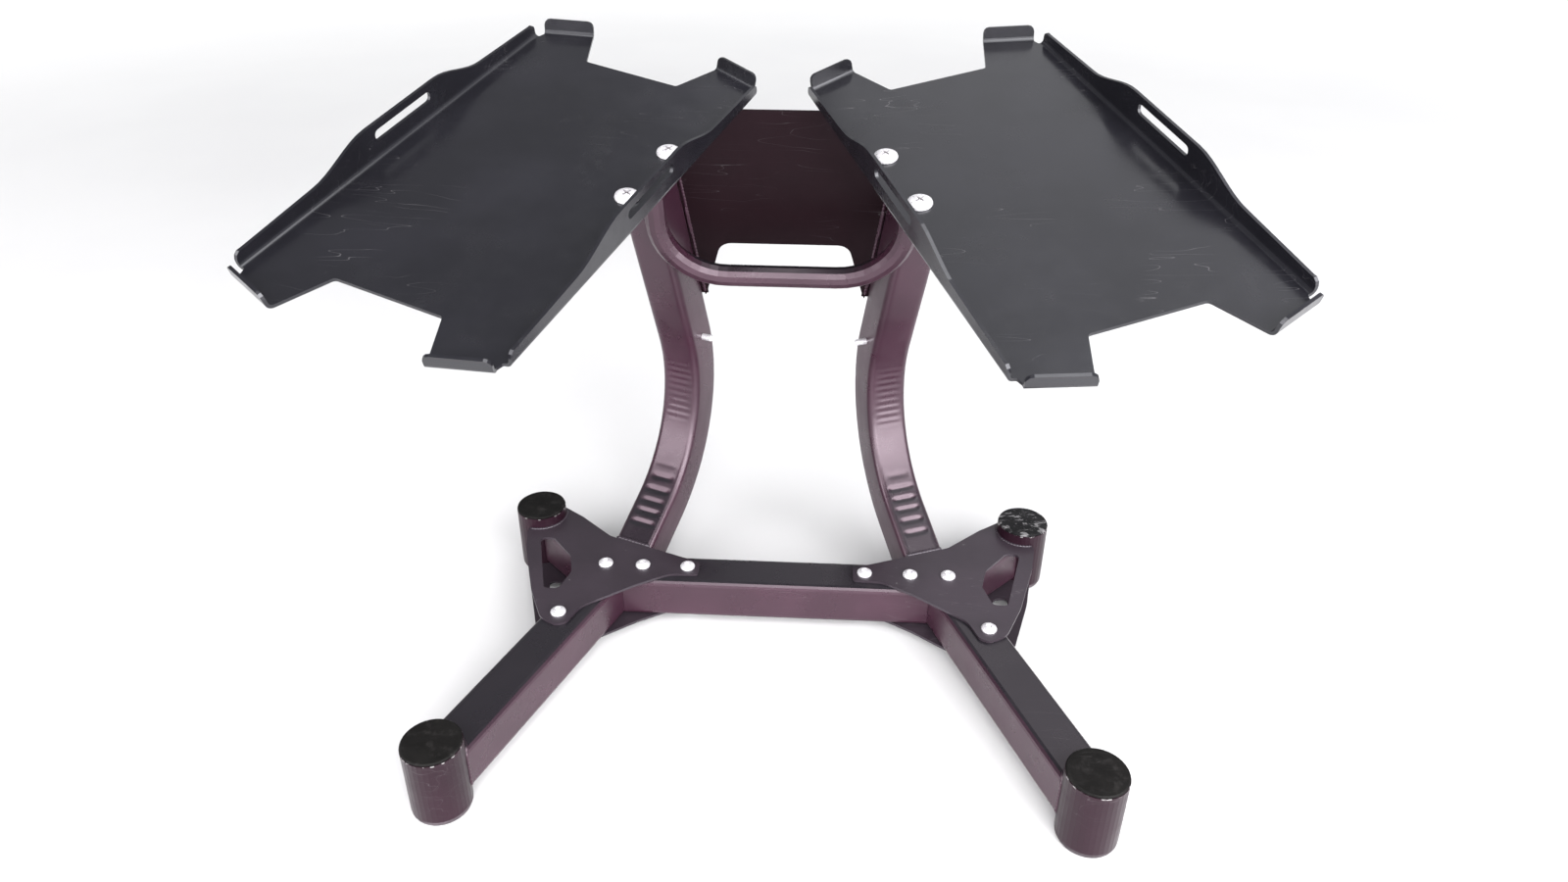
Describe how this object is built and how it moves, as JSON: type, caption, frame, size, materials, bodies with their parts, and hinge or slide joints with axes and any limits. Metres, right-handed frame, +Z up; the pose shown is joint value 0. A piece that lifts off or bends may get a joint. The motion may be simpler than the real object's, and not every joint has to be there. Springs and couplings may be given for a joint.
{
  "type": "adjustable dumbbell stand",
  "caption": "Floor stand for a pair of adjustable dumbbells: splayed square-tube base on round feet, curved uprights, tie panel, U-bar and tilted folded-sheet trays.",
  "frame": {"origin": "on the floor under the middle of the stand's bounding box", "axes": "+Z up, -Y toward the user, +X to the right of a user facing the stand"},
  "size_m": [0.8464, 0.5563, 0.6608],
  "materials": {
    "frame_paint": "semi-gloss powder coat, black with an aubergine cast",
    "plate_paint": "semi-gloss powder coat, black",
    "tray_paint": "semi-gloss powder coat, dark grey",
    "bright_zinc": "bright zinc plate",
    "black_plastic": "matte"
  },
  "bodies": {
    "root": {"left_front_foot_post": "frame_paint", "left_rear_foot_post": "frame_paint", "left_front_arm": "frame_paint", "left_rear_arm": "frame_paint", "left_curved_upright": "frame_paint", "left_top_gusset_plate": "plate_paint", "left_bottom_gusset_plate": "plate_paint", "left_tray_bracket": "plate_paint", "left_tray": "tray_paint", "left_front_top_plug": "black_plastic", "left_rear_top_plug": "black_plastic", "left_front_floor_glide": "black_plastic", "left_rear_floor_glide": "black_plastic", "left_gusset_bolt_1": "bright_zinc", "left_gusset_nut_1": "bright_zinc", "left_gusset_bolt_2": "bright_zinc", "left_gusset_nut_2": "bright_zinc", "left_gusset_bolt_3": "bright_zinc", "left_gusset_nut_3": "bright_zinc", "left_gusset_bolt_4": "bright_zinc", "left_gusset_nut_4": "bright_zinc", "left_tray_screw_1": "bright_zinc", "left_tray_nut_1": "bright_zinc", "left_tray_screw_2": "bright_zinc", "left_tray_nut_2": "bright_zinc", "left_side_pin": "bright_zinc", "right_front_foot_post": "frame_paint", "right_rear_foot_post": "frame_paint", "right_front_arm": "frame_paint", "right_rear_arm": "frame_paint", "right_curved_upright": "frame_paint", "right_top_gusset_plate": "plate_paint", "right_bottom_gusset_plate": "plate_paint", "right_tray_bracket": "plate_paint", "right_tray": "tray_paint", "right_front_top_plug": "black_plastic", "right_rear_top_plug": "black_plastic", "right_front_floor_glide": "black_plastic", "right_rear_floor_glide": "black_plastic", "right_gusset_bolt_1": "bright_zinc", "right_gusset_nut_1": "bright_zinc", "right_gusset_bolt_2": "bright_zinc", "right_gusset_nut_2": "bright_zinc", "right_gusset_bolt_3": "bright_zinc", "right_gusset_nut_3": "bright_zinc", "right_gusset_bolt_4": "bright_zinc", "right_gusset_nut_4": "bright_zinc", "right_tray_screw_1": "bright_zinc", "right_tray_nut_1": "bright_zinc", "right_tray_screw_2": "bright_zinc", "right_tray_nut_2": "bright_zinc", "right_side_pin": "bright_zinc", "crossbar": "frame_paint", "rear_panel": "frame_paint", "u_bar": "frame_paint"}
  },
  "joints": []
}
